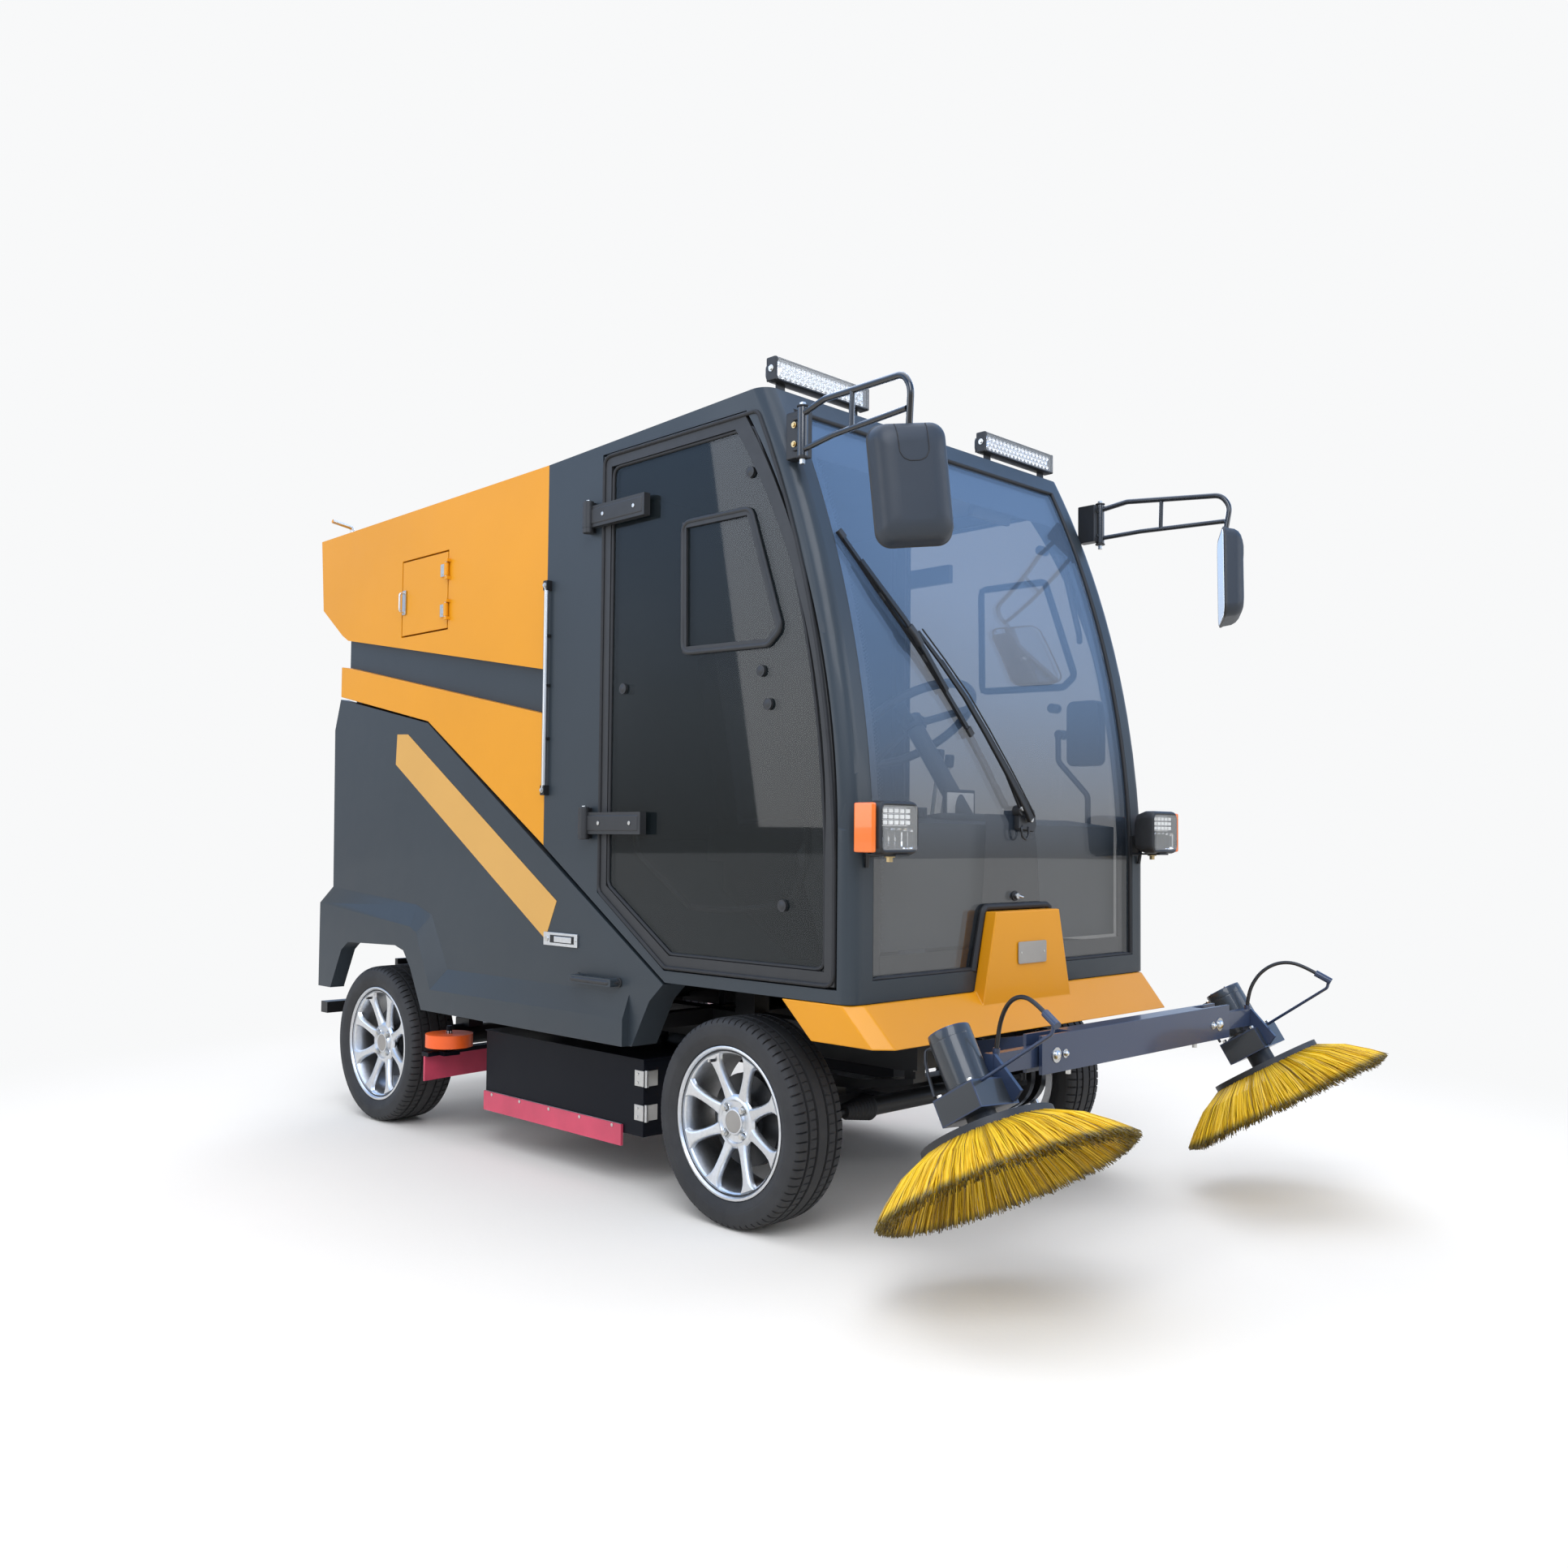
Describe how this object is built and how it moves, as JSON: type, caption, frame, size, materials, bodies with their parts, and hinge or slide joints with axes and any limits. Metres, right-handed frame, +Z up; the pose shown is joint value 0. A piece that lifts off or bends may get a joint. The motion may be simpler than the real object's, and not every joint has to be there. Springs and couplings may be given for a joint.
{
  "type": "compact road sweeper",
  "caption": "Compact electric road sweeper with a glazed cab, two tilting side brushes on a front beam, a scrubbing deck with squeegee, and a rear hopper below a water tank.",
  "frame": {"origin": "on the ground, below the middle of the whole length and width", "axes": "+Z up, -Y towards the front of the vehicle, +X towards its left side"},
  "size_m": [1.9278, 3.4914, 2.2429],
  "materials": {
    "tyre": "moulded rubber",
    "alloy": "painted silver alloy",
    "black_steel": "satin black paint",
    "body_grey": "dark blue-grey gloss paint",
    "body_yellow": "orange-yellow gloss paint",
    "glass": "tinted safety glass",
    "black_plastic": "moulded black plastic",
    "lens_clear": "clear lens",
    "lens_amber": "amber lens",
    "lens_red": "red lens",
    "mirror": "mirror glass",
    "seat_cover": "black vinyl",
    "brush_grey": "blue-grey gloss paint",
    "bristle": "yellow polypropylene bristles with dark tips",
    "pink_rubber": "red-pink polyurethane rubber",
    "orange_roller": "orange polyurethane",
    "bare_steel": "plain steel"
  },
  "bodies": {
    "chassis": {"chassis_frame": "black_steel", "front_axle": "black_steel", "rear_axle": "black_steel", "leaf_springs": "black_steel", "steering_rack": "black_steel", "battery_pack": "black_plastic", "cab_shell": "body_grey", "windshield": "glass", "wiper": "black_steel", "door_hinges": "black_steel", "seat": "seat_cover", "dashboard": "black_plastic", "front_bumper": "body_yellow", "lamp_housings": "black_plastic", "lamp_lenses": "lens_clear", "indicator_lenses": "lens_amber", "mirror_arms": "black_steel", "mirror_glass": "mirror", "water_tank": "body_yellow", "waist_panel": "body_grey", "lower_band": "body_yellow", "body_frame": "black_steel", "hopper": "bare_steel", "tail_lamps": "lens_red", "sight_tube": "bare_steel"},
    "tie_rod": {"tie_rod": "black_steel"},
    "steering_wheel": {"steering_wheel": "black_plastic"},
    "knuckle_right": {"knuckle_right": "black_steel"},
    "wheel_front_right": {"tyre_front_right": "tyre", "rim_front_right": "alloy"},
    "wheel_rear_right": {"tyre_rear_right": "tyre", "rim_rear_right": "alloy"},
    "door_right": {"door_frame_right": "black_plastic", "door_glass_right": "glass"},
    "side_panel_right": {"side_panel_right": "body_grey"},
    "brush_arm_right": {"brush_arm_right": "brush_grey", "hose_right": "black_plastic"},
    "brush_right": {"brush_disc_right": "black_plastic", "bristles_right": "bristle"},
    "guide_roller_right": {"guide_roller_right": "orange_roller"},
    "knuckle_left": {"knuckle_left": "black_steel"},
    "wheel_front_left": {"tyre_front_left": "tyre", "rim_front_left": "alloy"},
    "wheel_rear_left": {"tyre_rear_left": "tyre", "rim_rear_left": "alloy"},
    "door_left": {"door_frame_left": "black_plastic", "door_glass_left": "glass"},
    "side_panel_left": {"side_panel_left": "body_grey"},
    "brush_arm_left": {"brush_arm_left": "brush_grey", "hose_left": "black_plastic"},
    "brush_left": {"brush_disc_left": "black_plastic", "bristles_left": "bristle"},
    "guide_roller_left": {"guide_roller_left": "orange_roller"},
    "tailgate": {"tailgate": "body_grey"},
    "filler_flap": {"filler_flap": "body_yellow"},
    "brush_beam": {"brush_beam": "brush_grey"},
    "scrub_deck": {"scrub_deck": "black_steel", "deck_skirts": "pink_rubber"},
    "squeegee": {"squeegee_frame": "black_steel", "squeegee_blade": "pink_rubber"}
  },
  "joints": [
    {"name": "steer_right", "type": "hinge", "parent": "chassis", "child": "knuckle_right", "pos_m": [-0.47, -0.61, 0.268], "axis": [0, 0, 1], "range_deg": [-30, 30]},
    {"name": "steer_left", "type": "hinge", "parent": "chassis", "child": "knuckle_left", "pos_m": [0.47, -0.61, 0.268], "axis": [0, 0, 1], "range_deg": [-30, 30]},
    {"name": "tie_rod_slide", "type": "slide", "parent": "chassis", "child": "tie_rod", "axis": [1, 0, 0], "range_m": [-0.0577, 0.0577]},
    {"name": "steering_wheel_turn", "type": "hinge", "parent": "chassis", "child": "steering_wheel", "pos_m": [0, -0.67, 1.33], "axis": [0, 0.5736, 0.8192], "range_deg": [-361, 361]},
    {"name": "wheel_front_right_spin", "type": "hinge", "parent": "knuckle_right", "child": "wheel_front_right", "pos_m": [-0.588, -0.61, 0.268], "axis": [1, 0, 0], "continuous": true},
    {"name": "wheel_rear_right_spin", "type": "hinge", "parent": "chassis", "child": "wheel_rear_right", "pos_m": [-0.588, 1.201, 0.268], "axis": [1, 0, 0], "continuous": true},
    {"name": "door_right_hinge", "type": "hinge", "parent": "chassis", "child": "door_right", "pos_m": [-0.69, -0.02, 1.479], "axis": [0, 0, 1], "range_deg": [-80, 0]},
    {"name": "side_panel_right_hinge", "type": "hinge", "parent": "chassis", "child": "side_panel_right", "pos_m": [-0.627, 1.518, 1.1], "axis": [0, 0, -1], "range_deg": [0, 80]},
    {"name": "wheel_front_left_spin", "type": "hinge", "parent": "knuckle_left", "child": "wheel_front_left", "pos_m": [0.588, -0.61, 0.268], "axis": [1, 0, 0], "continuous": true},
    {"name": "wheel_rear_left_spin", "type": "hinge", "parent": "chassis", "child": "wheel_rear_left", "pos_m": [0.588, 1.201, 0.268], "axis": [1, 0, 0], "continuous": true},
    {"name": "door_left_hinge", "type": "hinge", "parent": "chassis", "child": "door_left", "pos_m": [0.69, -0.02, 1.479], "axis": [0, 0, -1], "range_deg": [-80, 0]},
    {"name": "side_panel_left_hinge", "type": "hinge", "parent": "chassis", "child": "side_panel_left", "pos_m": [0.627, 1.518, 1.1], "axis": [0, 0, 1], "range_deg": [0, 80]},
    {"name": "tailgate_hinge", "type": "hinge", "parent": "chassis", "child": "tailgate", "pos_m": [0, 1.533, 1.698], "axis": [1, 0, 0], "range_deg": [0, 80]},
    {"name": "filler_flap_hinge", "type": "hinge", "parent": "chassis", "child": "filler_flap", "pos_m": [-0.6765, 0.775, 1.8135], "axis": [0, 0, 1], "range_deg": [0, 110]},
    {"name": "brush_lift", "type": "hinge", "parent": "chassis", "child": "brush_beam", "pos_m": [0, -0.995, 0.445], "axis": [1, 0, 0], "range_deg": [0, 26]},
    {"name": "brush_arm_right_pivot", "type": "hinge", "parent": "brush_beam", "child": "brush_arm_right", "pos_m": [-0.388, -1.394, 0.508], "axis": [0, 1, 0], "range_deg": [0, 8]},
    {"name": "brush_right_spin", "type": "hinge", "parent": "brush_arm_right", "child": "brush_right", "pos_m": [-0.651, -1.42, 0.374], "axis": [0.0698, 0.5138, 0.8551], "continuous": true},
    {"name": "brush_arm_left_pivot", "type": "hinge", "parent": "brush_beam", "child": "brush_arm_left", "pos_m": [0.388, -1.394, 0.508], "axis": [0, -1, 0], "range_deg": [0, 8]},
    {"name": "brush_left_spin", "type": "hinge", "parent": "brush_arm_left", "child": "brush_left", "pos_m": [0.651, -1.42, 0.374], "axis": [-0.0698, 0.5138, 0.8551], "continuous": true},
    {"name": "deck_lift", "type": "slide", "parent": "chassis", "child": "scrub_deck", "axis": [0, 0, -1], "range_m": [0, 0.11]},
    {"name": "squeegee_lift", "type": "slide", "parent": "chassis", "child": "squeegee", "axis": [0, 0, -1], "range_m": [0, 0.18]},
    {"name": "guide_roller_right_spin", "type": "hinge", "parent": "squeegee", "child": "guide_roller_right", "pos_m": [-0.624, 0.79, 0.322], "axis": [0, 0, 1], "continuous": true},
    {"name": "guide_roller_left_spin", "type": "hinge", "parent": "squeegee", "child": "guide_roller_left", "pos_m": [0.624, 0.79, 0.322], "axis": [0, 0, 1], "continuous": true}
  ],
  "couplings": [
    {"joint": "steer_left", "follows": "steer_right", "ratio": 1},
    {"joint": "tie_rod_slide", "follows": "steer_right", "m_per_rad": 0.11},
    {"joint": "steering_wheel_turn", "follows": "steer_right", "ratio": 12}
  ]
}
